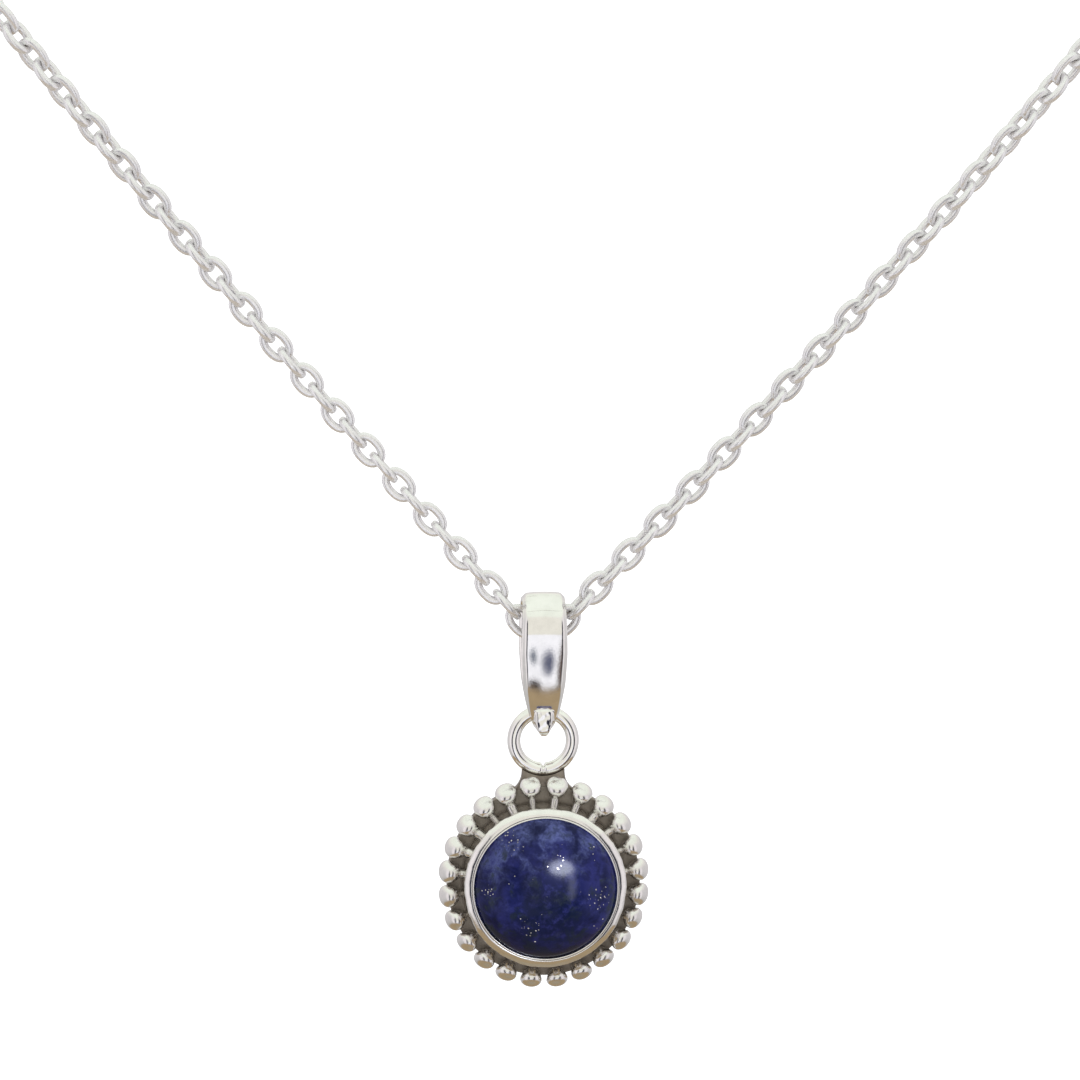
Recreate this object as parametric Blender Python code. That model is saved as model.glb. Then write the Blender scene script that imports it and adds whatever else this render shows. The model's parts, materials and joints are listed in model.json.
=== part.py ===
"""Pendant necklace: lapis pendant, tapered bail, cable chain and lobster clasp.

Metres, +Z up. The pendant faces -Y and hangs in the XZ plane. The origin is the centre of the back
plate's rear face. Each piece is one named mesh object, and a piece that turns has its object origin
on its pivot and its local Z along the pivot's axis. Dimensions below are millimetres and degrees.
"""

import math
from collections import namedtuple

import bmesh
import bpy
from mathutils import Matrix, Vector

MM = 0.001

# Stone and setting
STONE_RADIUS = 4.95
STONE_BACK_Y = -0.85
GIRDLE_Y = -2.3
DOME_HEIGHT = 3.0
BEZEL_RADIUS = 5.28
BEZEL_LIP_RADIUS = 4.80
BEZEL_FRONT_Y = -3.25
FIT_GAP = 0.05
PLATE_RADIUS = 6.3
PLATE_THICKNESS = 0.8
BORDER_INNER_RADIUS = BEZEL_RADIUS + FIT_GAP
BORDER_BASE_FRONT_Y = -1.3
BEAD_COUNT = 24
BEAD_RADIUS = 0.69
BEAD_RING_RADIUS = 6.15
BEAD_CENTRE_Y = -1.56

# Pendant ring and the tab it is soldered to
HANG_Y = -0.4
RING_CENTRE_Z = 9.25
RING_RADIUS = 1.88
RING_WIRE = 0.38
TAB_TOP_HALF_WIDTH = 1.6
TAB_FOOT_HALF_WIDTH = 2.0

# Bail
BAIL_HALF_WIDTH = 1.42
BAIL_AXIS_Z = 16.9
BAIL_OUTER_RADIUS = 2.1
BAIL_INNER_RADIUS = 1.55
BAIL_TIP_Z = 9.6
BAIL_TIP_RADIUS = 0.85
BAIL_SEAT_Z = 10.35
BAIL_SEAT_RADIUS = 0.55
BAIL_TAPER_Z = 12.7
BAIL_NOSE_HALF_WIDTH = 0.78
BAIL_NOSE_Z = 10.4

# Chain
PITCH = 1.5
LINKS_PER_ARM = 128
RUN_LENGTHS = (7, 13, 19, 25, 29, 29)
LINK_WIRE = 0.25
LINK_HALF_LENGTH = 0.97
LINK_HALF_WIDTH = 0.70
LINK_END_HALF_WIDTH = 0.45
PIVOT_WIRE = 0.225
PIVOT_HALF_LENGTH = 1.03
PIVOT_HALF_WIDTH = 0.66
PIVOT_END_HALF_WIDTH = 0.30
PIVOT_SHOULDER = 0.45
CENTRE_LINK_Z = 16.75
FRONT_LENGTH = 52.0
NAPE_RISE = 8.0
NAPE_TWIST = 90.0
TWIST_POWER = 2.2

# Clasp and end rings
CLASP_RING_RADIUS = 1.25
CLASP_RING_WIRE = 0.25
END_RING_RADIUS = 1.75
END_RING_WIRE = 0.28

# Clasp: u runs from the centre of its eye to its nose, v from its mouth to its back
CLASP_THICKNESS = 1.6
EYE_RADIUS = 0.72
TAIL_RADIUS = 1.25
SHELL_U = 4.9
SHELL_HALF_LENGTH = 4.1
SHELL_HALF_WIDTH = 2.7
HOOK_CENTRE = (6.1, -0.1)
HOOK_HALF_LENGTH = 2.0
HOOK_HALF_WIDTH = 1.5
MOUTH_U = (4.0, 7.48)
MOUTH_V = (-4.0, -0.9)
SLOT_U = (1.7, 4.6)
SLOT_V = (-3.2, 0.9)
SLOT_WIDTH = 0.86
LEVER_THICKNESS = 0.70
LEVER_PIVOT = (3.1, -0.75)
LEVER_HEEL_RADIUS = 0.8
PIN_RADIUS = 0.28
PIN_GAP = 0.04
SPRING_CENTRE = (4.3, 1.0)
SPRING_RADIUS = 0.95
SPRING_THICKNESS = 0.15
SPRING_WIDTH = 0.5
THROUGH = 2.0

Arm = namedtuple("Arm", "name side low_rise high_rise low_twist turn_power")
Link = namedtuple("Link", "centre along normal")
Look = namedtuple("Look", "colour roughness metallic")

LEFT = Arm("left", -1, 48.1, 51.7, 0.0, 1.25)
RIGHT = Arm("right", 1, 45.7, 49.9, 8.0, 1.2)

SILVER = Look((0.86, 0.86, 0.85), 0.20, 1.0)
CHAIN_SILVER = Look((0.83, 0.83, 0.83), 0.28, 1.0)
OXIDISED = Look((0.16, 0.14, 0.13), 0.55, 1.0)
LAPIS = Look((0.03, 0.06, 0.32), 0.12, 0.0)
SPRING_STEEL = Look((0.45, 0.46, 0.48), 0.35, 1.0)


def clear_scene():
    for obj in list(bpy.data.objects):
        bpy.data.objects.remove(obj, do_unlink=True)


def material(name, look):
    made = bpy.data.materials.new(name)
    made.use_nodes = True
    shader = made.node_tree.nodes["Principled BSDF"]
    shader.inputs["Base Color"].default_value = (*look.colour, 1.0)
    shader.inputs["Roughness"].default_value = look.roughness
    shader.inputs["Metallic"].default_value = look.metallic
    made.diffuse_color = (*look.colour, 1.0)
    return made


def frame_at(origin, x_axis, z_axis):
    """Matrix from millimetres in a local frame to metres in the world."""
    z = Vector(z_axis).normalized()
    x = Vector(x_axis)
    x = (x - z * x.dot(z)).normalized()
    turn = Matrix((x, z.cross(x), z)).transposed().to_4x4()
    return Matrix.Translation(Vector(origin) * MM) @ turn @ Matrix.Scale(MM, 4)


def new_object(name, bm, look, pivot=None, sharp_angle=35.0):
    """Turns bm, in world metres, into an object whose local axes are those of pivot."""
    bmesh.ops.recalc_face_normals(bm, faces=bm.faces)
    mesh = bpy.data.meshes.new(name)
    bm.to_mesh(mesh)
    bm.free()
    obj = bpy.data.objects.new(name, mesh)
    bpy.context.scene.collection.objects.link(obj)
    if look:
        mesh.materials.append(material(name, look))
    if pivot:
        place = pivot @ Matrix.Scale(1.0 / MM, 4)
        mesh.transform(place.inverted())
        obj.matrix_world = place
    mesh.shade_smooth()
    mesh.set_sharp_from_angle(angle=math.radians(sharp_angle))
    return obj


def combine(target, bm, operation):
    """Joins bm to target, or cuts it out of it, with an exact Boolean."""
    helper = new_object(f"{target.name}_{operation.lower()}_{len(target.modifiers)}", bm, None)
    helper.hide_render = True
    helper.display_type = "WIRE"
    modifier = target.modifiers.new(operation.lower(), "BOOLEAN")
    modifier.operation = operation
    modifier.solver = "EXACT"
    modifier.object = helper


def arc(centre, radius, start, end, steps):
    """Points of an arc, from start to end in degrees, both ends included."""
    angles = [math.radians(start + (end - start) * i / steps) for i in range(steps + 1)]
    return [(centre[0] + radius * math.cos(a), centre[1] + radius * math.sin(a)) for a in angles]


def circle(centre, radius, steps):
    return arc(centre, radius, 0.0, 360.0, steps)[:-1]


def prism(outline, frame, low, high):
    """Closed solid: an outline in the frame's XY plane, extruded from low to high along Z."""
    bm = bmesh.new()
    base, top = ([bm.verts.new(frame @ Vector((x, y, z))) for x, y in outline] for z in (low, high))
    bm.faces.new(base)
    bm.faces.new(top)
    for i in range(len(outline)):
        bm.faces.new((base[i - 1], base[i], top[i], top[i - 1]))
    return bm


def lathe(profile, steps):
    """Turns a closed profile of (radius, y) points about the Y axis."""
    bm = bmesh.new()
    rings = []
    for radius, y in profile:
        if radius == 0.0:
            rings.append([bm.verts.new(Vector((0.0, y, 0.0)) * MM)])
        else:
            points = circle((0.0, 0.0), radius, steps)
            rings.append([bm.verts.new(Vector((x, y, z)) * MM) for x, z in points])
    ends_on_axis = len(rings[0]) == 1
    pairs = zip(rings, rings[1:]) if ends_on_axis else zip(rings, rings[1:] + rings[:1])
    for low, high in pairs:
        for i in range(steps):
            j = (i + 1) % steps
            corners = [low[i % len(low)], low[j % len(low)], high[j % len(high)], high[i % len(high)]]
            bm.faces.new(list(dict.fromkeys(corners)))
    return bm


def wire_loop(bm, points, frame, radius, sides):
    """Adds a closed round wire bent along a polygon in the frame's XY plane, mitred at its corners."""
    rings = []
    corners = [Vector(p) for p in points]
    for i, corner in enumerate(corners):
        before = (corner - corners[i - 1]).normalized()
        after = (corners[(i + 1) % len(corners)] - corner).normalized()
        outward = Vector((before.y + after.y, -before.x - after.x)).normalized()
        stretch = radius / outward.dot(Vector((after.y, -after.x)))
        ring = []
        for side in range(sides):
            turn = 2.0 * math.pi * side / sides
            flat = corner + outward * stretch * math.cos(turn)
            ring.append(bm.verts.new(frame @ Vector((flat.x, flat.y, radius * math.sin(turn)))))
        rings.append(ring)
    for ring, following in zip(rings, rings[1:] + rings[:1]):
        for side in range(sides):
            other = (side + 1) % sides
            bm.faces.new((ring[side], ring[other], following[other], following[side]))


def wire_ring(name, centre, along, normal, radius, wire, look, pivot=None):
    bm = bmesh.new()
    frame = frame_at(centre, along, normal)
    wire_loop(bm, circle((0.0, 0.0), radius, 24), frame, wire, 8)
    return new_object(name, bm, look, pivot)


# Pendant


def dome_radius(y):
    """Radius of the stone's dome at a depth y."""
    return STONE_RADIUS * math.sqrt(1.0 - ((GIRDLE_Y - y) / DOME_HEIGHT) ** 2)


def build_stone():
    steps = 8
    dome = []
    for i in range(steps):
        angle = 0.5 * math.pi * i / steps
        dome.append((STONE_RADIUS * math.cos(angle), GIRDLE_Y - DOME_HEIGHT * math.sin(angle)))
    top = (0.0, GIRDLE_Y - DOME_HEIGHT)
    profile = [(0.0, STONE_BACK_Y), (STONE_RADIUS, STONE_BACK_Y), *dome, top]
    new_object("stone", lathe(profile, 48), LAPIS)


def build_bezel():
    lip_y = BEZEL_FRONT_Y + 0.1
    inner = [(STONE_RADIUS + FIT_GAP, STONE_BACK_Y), (STONE_RADIUS + FIT_GAP, GIRDLE_Y)]
    inner += [(dome_radius(lip_y) + FIT_GAP, lip_y), (BEZEL_LIP_RADIUS + 0.08, BEZEL_FRONT_Y)]
    outer = [(BEZEL_RADIUS - 0.12, BEZEL_FRONT_Y), (BEZEL_RADIUS, lip_y)]
    new_object("bezel", lathe([*inner, *outer, (BEZEL_RADIUS, STONE_BACK_Y)], 48), SILVER)


def build_back_plate():
    """Disc with a flared tab whose top is hollowed to seat the pendant ring."""
    seat_radius = RING_RADIUS + RING_WIRE + FIT_GAP
    seat_angle = math.degrees(math.acos(TAB_TOP_HALF_WIDTH / seat_radius))
    foot_angle = math.degrees(math.acos(TAB_FOOT_HALF_WIDTH / PLATE_RADIUS))
    disc = arc((0.0, 0.0), PLATE_RADIUS, 180.0 - foot_angle, 360.0 + foot_angle, 44)
    seat = arc((0.0, RING_CENTRE_Z), seat_radius, -seat_angle, -180.0 + seat_angle, 8)
    front_facing = frame_at((0.0, 0.0, 0.0), (1.0, 0.0, 0.0), (0.0, -1.0, 0.0))
    bm = prism([*disc, *seat], front_facing, 0.0, PLATE_THICKNESS)
    new_object("back_plate", bm, OXIDISED)


def build_beaded_border():
    back, front = -PLATE_THICKNESS - FIT_GAP, BORDER_BASE_FRONT_Y
    inner, outer = BORDER_INNER_RADIUS, PLATE_RADIUS
    base = [(inner, back), (inner, front), (outer - 0.2, front), (outer, front + 0.2), (outer, back)]
    border = new_object("beaded_border", lathe(base, 48), OXIDISED)
    beads = bmesh.new()
    for i in range(BEAD_COUNT):
        angle = 2.0 * math.pi * (i + 0.5) / BEAD_COUNT
        outward = Vector((math.sin(angle), 0.0, math.cos(angle)))
        centre = outward * BEAD_RING_RADIUS + Vector((0.0, BEAD_CENTRE_Y, 0.0))
        frame = frame_at(centre, outward, (0.0, -1.0, 0.0))
        bmesh.ops.create_uvsphere(beads, u_segments=10, v_segments=6, radius=BEAD_RADIUS, matrix=frame)
    bmesh.ops.triangulate(beads, faces=beads.faces)
    combine(border, beads, "UNION")


def setting_pivot():
    return frame_at((0.0, HANG_Y, RING_CENTRE_Z), (0.0, 0.0, 1.0), (0.0, 1.0, 0.0))


def build_pendant_ring():
    centre = (0.0, HANG_Y, RING_CENTRE_Z)
    upward, facing = (0.0, 0.0, 1.0), (0.0, 1.0, 0.0)
    wire_ring(
        "pendant_ring", centre, upward, facing, RING_RADIUS, RING_WIRE, SILVER, setting_pivot()
    )


def teardrop(top_radius, low_centre_z, low_radius, steps):
    """Side outline of two circles joined by straight flanks, top one on the bail's axis."""
    span = BAIL_AXIS_Z - low_centre_z
    lean = math.degrees(math.asin((top_radius - low_radius) / span))
    top = arc((0.0, BAIL_AXIS_Z), top_radius, -lean, 180.0 + lean, steps)
    low = arc((0.0, low_centre_z), low_radius, 180.0 + lean, 360.0 - lean, steps // 2)
    return [*top, *low]


def bail_front_outline():
    half, nose, reach = BAIL_HALF_WIDTH, BAIL_NOSE_HALF_WIDTH, BAIL_NOSE_Z - BAIL_TIP_Z
    tip = []
    for i in range(7):
        angle = math.pi * i / 6
        tip.append((-nose * math.cos(angle), BAIL_NOSE_Z - reach * math.sin(angle)))
    top = BAIL_AXIS_Z + BAIL_OUTER_RADIUS + 1.0
    return [(-half, top), (-half, BAIL_TAPER_Z), *tip, (half, BAIL_TAPER_Z), (half, top)]


def build_bail():
    """Tapered loop: its side outline is a hollow teardrop, its front outline narrows to the nose."""
    side_on = frame_at((0.0, HANG_Y, 0.0), (0.0, 1.0, 0.0), (1.0, 0.0, 0.0))
    front_on = frame_at((0.0, HANG_Y, 0.0), (1.0, 0.0, 0.0), (0.0, -1.0, 0.0))
    wide = BAIL_HALF_WIDTH + 1.0
    outer = teardrop(BAIL_OUTER_RADIUS, BAIL_TIP_Z + BAIL_TIP_RADIUS, BAIL_TIP_RADIUS, 20)
    inner = teardrop(BAIL_INNER_RADIUS, BAIL_SEAT_Z + BAIL_SEAT_RADIUS, BAIL_SEAT_RADIUS, 20)
    pivot = frame_at((0.0, HANG_Y, BAIL_AXIS_Z), (0.0, 0.0, 1.0), (-1.0, 0.0, 0.0))
    bail = new_object("bail", prism(outer, side_on, -wide, wide), SILVER, pivot)
    combine(bail, prism(bail_front_outline(), front_on, -4.0, 4.0), "INTERSECT")
    combine(bail, prism(inner, side_on, -wide - 1.0, wide + 1.0), "DIFFERENCE")


# Chain


def link_direction(arm, travelled):
    """Direction of an arm at a distance from the bail, and the level direction square to it."""
    total = LINKS_PER_ARM * PITCH
    front = min(travelled / FRONT_LENGTH, 1.0)
    round_neck = max((travelled - FRONT_LENGTH) / (total - FRONT_LENGTH), 0.0)
    left_over = 1.0 - round_neck
    rise = arm.low_rise + (arm.high_rise - arm.low_rise) * front
    rise += (NAPE_RISE - arm.high_rise) * (1.0 - left_over**2)
    heading = math.pi * (1.0 - left_over**arm.turn_power)
    rise = math.radians(rise)
    level = Vector((-arm.side * math.sin(heading), math.cos(heading), 0.0))
    ahead = Vector((arm.side * math.cos(heading), math.sin(heading), 0.0))
    return ahead * math.cos(rise) + Vector((0.0, 0.0, math.sin(rise))), level


def link_twist(arm, travelled):
    """How far the links have turned about the chain: half way by the end of the front."""
    total = LINKS_PER_ARM * PITCH
    half = NAPE_TWIST / 2.0
    if travelled < FRONT_LENGTH:
        share = (travelled / FRONT_LENGTH) ** TWIST_POWER
        return arm.low_twist + (half - arm.low_twist) * share
    return half + half * (travelled - FRONT_LENGTH) / (total - FRONT_LENGTH)


def arm_links(arm):
    """Every link of an arm in order from the bail, each second one a quarter turn further round."""
    first_wire = Vector((arm.side * PIVOT_HALF_LENGTH, HANG_Y, CENTRE_LINK_Z))
    joint = first_wire - link_direction(arm, 0.0)[0] * (PIVOT_HALF_LENGTH - PITCH / 2.0)
    links = []
    for index in range(LINKS_PER_ARM):
        travelled = (index + 0.5) * PITCH
        along, level = link_direction(arm, travelled)
        turn = link_twist(arm, travelled) + (90.0 if index % 2 else 0.0)
        normal = Matrix.Rotation(arm.side * math.radians(turn), 3, along) @ level
        links.append(Link(joint + along * PITCH / 2.0, along, normal))
        joint = joint + along * PITCH
    return links


def run_link_outline(near, far):
    end, wide = LINK_END_HALF_WIDTH, LINK_HALF_WIDTH
    return [(far, -end), (far, end), (0.0, wide), (-near, end), (-near, -end), (0.0, -wide)]


def pivot_link_outline():
    far, end = PIVOT_HALF_LENGTH, PIVOT_END_HALF_WIDTH
    side, wide = PIVOT_SHOULDER, PIVOT_HALF_WIDTH
    right = [(far, -end), (far, end), (side, wide), (-side, wide)]
    return [*right, *[(-x, -y) for x, y in right]]


def link_frame(link):
    return frame_at(link.centre, link.along, link.normal)


def pivot_in(link, reach, sign):
    """Pivot on the far end wire of a link: the next link turns about that wire."""
    axis = link.along.cross(link.normal) * sign
    return frame_at(link.centre + link.along * reach, link.along, axis)


def build_pivot_link(name, link, pivot):
    bm = bmesh.new()
    wire_loop(bm, pivot_link_outline(), link_frame(link), PIVOT_WIRE, 6)
    return new_object(name, bm, CHAIN_SILVER, pivot, 70.0)


def build_run(name, links, pivot):
    """A run of links joined where each rests in the next; its two end wires reach for a pivot link."""
    halves = bmesh.new(), bmesh.new()
    last = len(links) - 1
    for index, link in enumerate(links):
        near = PIVOT_HALF_LENGTH if index == 0 else LINK_HALF_LENGTH
        far = PIVOT_HALF_LENGTH if index == last else LINK_HALF_LENGTH
        outline = run_link_outline(near, far)
        wire_loop(halves[index % 2], outline, link_frame(link), LINK_WIRE, 4)
    run = new_object(name, halves[0], CHAIN_SILVER, pivot, 95.0)
    combine(run, halves[1], "UNION")
    return run


def build_arm(arm):
    """One arm: pivot links and runs in turn. Returns its last link."""
    links = arm_links(arm)
    previous = Link(Vector((0.0, HANG_Y, CENTRE_LINK_Z)), Vector((arm.side, 0, 0)), Vector((0, 0, 1)))
    start = 0
    for number, length in enumerate(RUN_LENGTHS, 1):
        sign = 1 if number % 2 else -1
        pivot = pivot_in(previous, PIVOT_HALF_LENGTH, sign)
        build_pivot_link(f"{arm.name}_pivot_link_{number}", links[start], pivot)
        run = links[start + 1 : start + 1 + length]
        pivot = pivot_in(links[start], PIVOT_HALF_LENGTH, sign)
        build_run(f"{arm.name}_chain_run_{number}", run, pivot)
        previous = run[-1]
        start += 1 + length
    return previous


def build_centre_link():
    bm = bmesh.new()
    frame = frame_at((0.0, HANG_Y, CENTRE_LINK_Z), (1.0, 0.0, 0.0), (0.0, 0.0, 1.0))
    wire_loop(bm, pivot_link_outline(), frame, PIVOT_WIRE, 6)
    new_object("chain_centre_link", bm, CHAIN_SILVER, None, 70.0)


# Clasp


def end_ring(name, link, radius, wire):
    """Ring through the last link of an arm. Returns its centre."""
    pivot = pivot_in(link, PIVOT_HALF_LENGTH, 1)
    grip = PIVOT_HALF_LENGTH - (LINK_WIRE + wire + FIT_GAP)
    centre = link.centre + link.along * (grip + radius)
    normal = link.along.cross(link.normal)
    wire_ring(name, centre, link.along, normal, radius, wire, CHAIN_SILVER, pivot)
    return centre


def ellipse(centre, half_length, half_width, start, end, steps):
    turned = arc((0.0, 0.0), 1.0, start, end, steps)
    return [(centre[0] + x * half_length, centre[1] + y * half_width) for x, y in turned]


def box(u_range, v_range):
    (left, right), (low, high) = u_range, v_range
    return [(left, low), (right, low), (right, high), (left, high)]


def clasp_body_outline():
    """Tail eye, then a hooked shell that swells to the nose."""
    tail = arc((0.0, 0.0), TAIL_RADIUS, 60.0, 300.0, 12)
    shell = ellipse((SHELL_U, 0.0), SHELL_HALF_LENGTH, SHELL_HALF_WIDTH, -150.0, 150.0, 24)
    return [*tail, *shell]


def clasp_body(frame):
    half = CLASP_THICKNESS / 2.0
    body = new_object("clasp_body", prism(clasp_body_outline(), frame, -half, half), SILVER, frame)
    hook = ellipse(HOOK_CENTRE, HOOK_HALF_LENGTH, HOOK_HALF_WIDTH, 0.0, 342.0, 19)
    cuts = (
        (circle((0.0, 0.0), EYE_RADIUS, 12), THROUGH),
        (hook, THROUGH),
        (box(MOUTH_U, MOUTH_V), THROUGH),
        (box(SLOT_U, SLOT_V), SLOT_WIDTH / 2.0),
        (circle(LEVER_PIVOT, PIN_RADIUS + PIN_GAP, 12), THROUGH),
    )
    for outline, depth in cuts:
        combine(body, prism(outline, frame, -depth, depth), "DIFFERENCE")


def lever_outline():
    """Heel round the pivot, thumb tab outside the shell and a nose that closes the hook's mouth."""
    heel = arc(LEVER_PIVOT, LEVER_HEEL_RADIUS, 50.0, 215.0, 10)
    thumb = [(3.0, -2.3), (3.1, -3.3), (3.5, -3.45), (3.9, -3.3), (4.1, -2.75)]
    nose = [(5.6, -2.6), (7.2, -2.15), (7.25, -1.8), (7.1, -1.55), (5.6, -1.75), (4.4, -1.5)]
    return [*heel, *thumb, *nose]


def clasp_lever(frame):
    pivot = frame @ Matrix.Translation((*LEVER_PIVOT, 0.0))
    half = LEVER_THICKNESS / 2.0
    lever = new_object("clasp_lever", prism(lever_outline(), frame, -half, half), SILVER, pivot)
    hole = prism(circle(LEVER_PIVOT, PIN_RADIUS + PIN_GAP, 12), frame, -THROUGH, THROUGH)
    combine(lever, hole, "DIFFERENCE")


def clasp_pin(frame):
    half = CLASP_THICKNESS / 2.0
    pin = prism(circle(LEVER_PIVOT, PIN_RADIUS, 12), frame, -half, half)
    new_object("clasp_pin", pin, SPRING_STEEL)


def clasp_spring(frame):
    """Bent leaf in the slot: one end on the slot's wall, the other under the lever's heel."""
    half = SPRING_WIDTH / 2.0
    outer = arc(SPRING_CENTRE, SPRING_RADIUS, 190.0, 262.0, 6)
    inner = arc(SPRING_CENTRE, SPRING_RADIUS - SPRING_THICKNESS, 262.0, 190.0, 6)
    new_object("clasp_spring", prism([*outer, *inner], frame, -half, half), SPRING_STEEL)


def build_clasp(link):
    """Lobster clasp on a jump ring at the end of an arm, gate downwards."""
    ring_centre = end_ring("clasp_ring", link, CLASP_RING_RADIUS, CLASP_RING_WIRE)
    eye = ring_centre + link.along * CLASP_RING_RADIUS
    frame = frame_at(eye, link.along, link.normal)
    clasp_body(frame)
    clasp_lever(frame)
    clasp_pin(frame)
    clasp_spring(frame)


def main():
    clear_scene()
    build_stone()
    build_bezel()
    build_back_plate()
    build_beaded_border()
    build_pendant_ring()
    build_bail()
    build_centre_link()
    build_clasp(build_arm(LEFT))
    end_ring("end_ring", build_arm(RIGHT), END_RING_RADIUS, END_RING_WIRE)


main()
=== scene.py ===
"""Pendant necklace: the finished look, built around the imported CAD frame.

Every piece stands for one CAD node and rides its body. Lengths are in millimetres until a mesh is
made, and MM turns them into metres. The pendant faces -Y and +Z is up.
"""

import json
import math
import random

import bmesh
import bpy
import numpy as np
from mathutils import Matrix, Vector

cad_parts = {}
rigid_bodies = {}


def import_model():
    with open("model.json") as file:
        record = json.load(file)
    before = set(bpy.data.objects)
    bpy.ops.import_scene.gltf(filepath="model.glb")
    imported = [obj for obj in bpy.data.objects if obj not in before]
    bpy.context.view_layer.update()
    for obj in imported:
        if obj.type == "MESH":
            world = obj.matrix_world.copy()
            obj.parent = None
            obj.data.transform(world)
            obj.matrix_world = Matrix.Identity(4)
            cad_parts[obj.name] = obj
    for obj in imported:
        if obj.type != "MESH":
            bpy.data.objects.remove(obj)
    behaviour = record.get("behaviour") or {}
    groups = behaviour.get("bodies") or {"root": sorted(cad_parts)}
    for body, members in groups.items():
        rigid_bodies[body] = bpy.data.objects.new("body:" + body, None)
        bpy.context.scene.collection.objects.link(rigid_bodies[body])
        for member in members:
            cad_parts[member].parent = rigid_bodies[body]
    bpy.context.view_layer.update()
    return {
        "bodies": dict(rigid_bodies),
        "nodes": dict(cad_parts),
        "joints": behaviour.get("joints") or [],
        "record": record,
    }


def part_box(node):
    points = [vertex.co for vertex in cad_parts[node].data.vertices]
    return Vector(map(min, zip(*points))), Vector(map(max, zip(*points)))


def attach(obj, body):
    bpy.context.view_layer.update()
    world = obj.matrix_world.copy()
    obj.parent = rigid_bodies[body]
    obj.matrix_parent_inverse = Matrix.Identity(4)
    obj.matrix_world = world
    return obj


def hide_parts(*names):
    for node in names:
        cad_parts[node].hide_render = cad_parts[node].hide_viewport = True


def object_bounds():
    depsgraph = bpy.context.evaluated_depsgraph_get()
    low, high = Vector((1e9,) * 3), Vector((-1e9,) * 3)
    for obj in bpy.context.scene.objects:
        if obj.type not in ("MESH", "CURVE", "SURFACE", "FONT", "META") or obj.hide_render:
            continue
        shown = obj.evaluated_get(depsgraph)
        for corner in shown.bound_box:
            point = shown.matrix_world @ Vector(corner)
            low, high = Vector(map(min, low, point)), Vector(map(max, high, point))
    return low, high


MM = 0.001
UP, FACING = Vector((0.0, 0.0, 1.0)), Vector((0.0, -1.0, 0.0))

# Chain, as in the CAD
PITCH = 1.5
LINKS_PER_ARM = 128
RUN_LENGTHS = (7, 13, 19, 25, 29, 29)
PIVOT_REACH = 1.03
FRONT_LENGTH = 52.0
NAPE_RISE = 8.0
NAPE_TWIST = 90.0
TWIST_POWER = 2.2
ARMS = {
    "left": {"side": -1, "rise": (48.1, 51.7), "twist": 0.0, "power": 1.25},
    "right": {"side": 1, "rise": (45.7, 49.9), "twist": 8.0, "power": 1.2},
}

# A link of the chain
LINK_HALF_LENGTH = 1.0
LINK_HALF_WIDTH = 0.665
LINK_FULLNESS = 2.25
WIRE_HALF_WIDTH = 0.26
WIRE_HALF_THICKNESS = 0.245
WIRE_SQUARENESS = 2.7
LINK_LEAN, LINK_SWAY = 3.0, 1.0


# Meshes


def new_mesh(name, vertices, faces, material, attributes=None):
    """Smooth-shaded object from vertices in millimetres."""
    mesh = bpy.data.meshes.new(name)
    mesh.from_pydata([tuple(v) for v in np.asarray(vertices) * MM], [], [tuple(f) for f in faces])
    mesh.update()
    for key, values in (attributes or {}).items():
        attribute = mesh.attributes.new(key, "FLOAT", "POINT")
        attribute.data.foreach_set("value", np.float32(values))
    obj = bpy.data.objects.new(name, mesh)
    bpy.context.scene.collection.objects.link(obj)
    mesh.materials.append(material)
    mesh.shade_smooth()
    return obj


def grid_faces(rows, columns, close_rows=True, start=0):
    """Quads of a grid whose columns close on themselves, and whose rows may."""
    faces = []
    for r in range(rows if close_rows else rows - 1):
        for c in range(columns):
            a, b = r * columns + c, r * columns + (c + 1) % columns
            d, e = ((r + 1) % rows) * columns + c, ((r + 1) % rows) * columns + (c + 1) % columns
            faces.append((start + a, start + b, start + e, start + d))
    return faces


def facing_out(obj):
    """Turns the faces of each closed shell outwards."""
    bm = bmesh.new()
    bm.from_mesh(obj.data)
    bmesh.ops.recalc_face_normals(bm, faces=bm.faces)
    bm.to_mesh(obj.data)
    bm.free()
    obj.data.shade_smooth()
    return obj


def smooth_step(value, low, high):
    """0 at low, 1 at high, smooth between; low may be the larger of the two."""
    t = np.clip((np.asarray(value, float) - low) / (high - low), 0.0, 1.0)
    return t * t * (3.0 - 2.0 * t)


def lathe(name, profile, steps, material, shape=None, dark=None):
    """Turns a profile of (radius, y) about the Y axis; dark gives each profile point its tarnish."""
    profile = np.array(profile, float)
    angles = np.linspace(0.0, 2.0 * math.pi, steps, endpoint=False)
    radius = np.repeat(profile[:, :1], steps, axis=1)
    depth = np.repeat(profile[:, 1:], steps, axis=1)
    if shape:
        radius, depth = shape(radius, depth, angles)
    points = np.stack([radius * np.cos(angles), depth, radius * np.sin(angles)], axis=-1)
    tarnish = {} if dark is None else {"dark": np.repeat(dark, steps)}
    faces = grid_faces(len(profile), steps)
    return facing_out(new_mesh(name, points.reshape(-1, 3), faces, material, tarnish))


def superellipse(count, exponent):
    """Unit closed curve: 2 gives a circle, more gives a squarer one."""
    angles = np.linspace(0.0, 2.0 * math.pi, count, endpoint=False)
    c, s = np.cos(angles), np.sin(angles)
    return np.stack(
        [np.sign(c) * np.abs(c) ** (2 / exponent), np.sign(s) * np.abs(s) ** (2 / exponent)], axis=1
    )


# Materials


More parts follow.
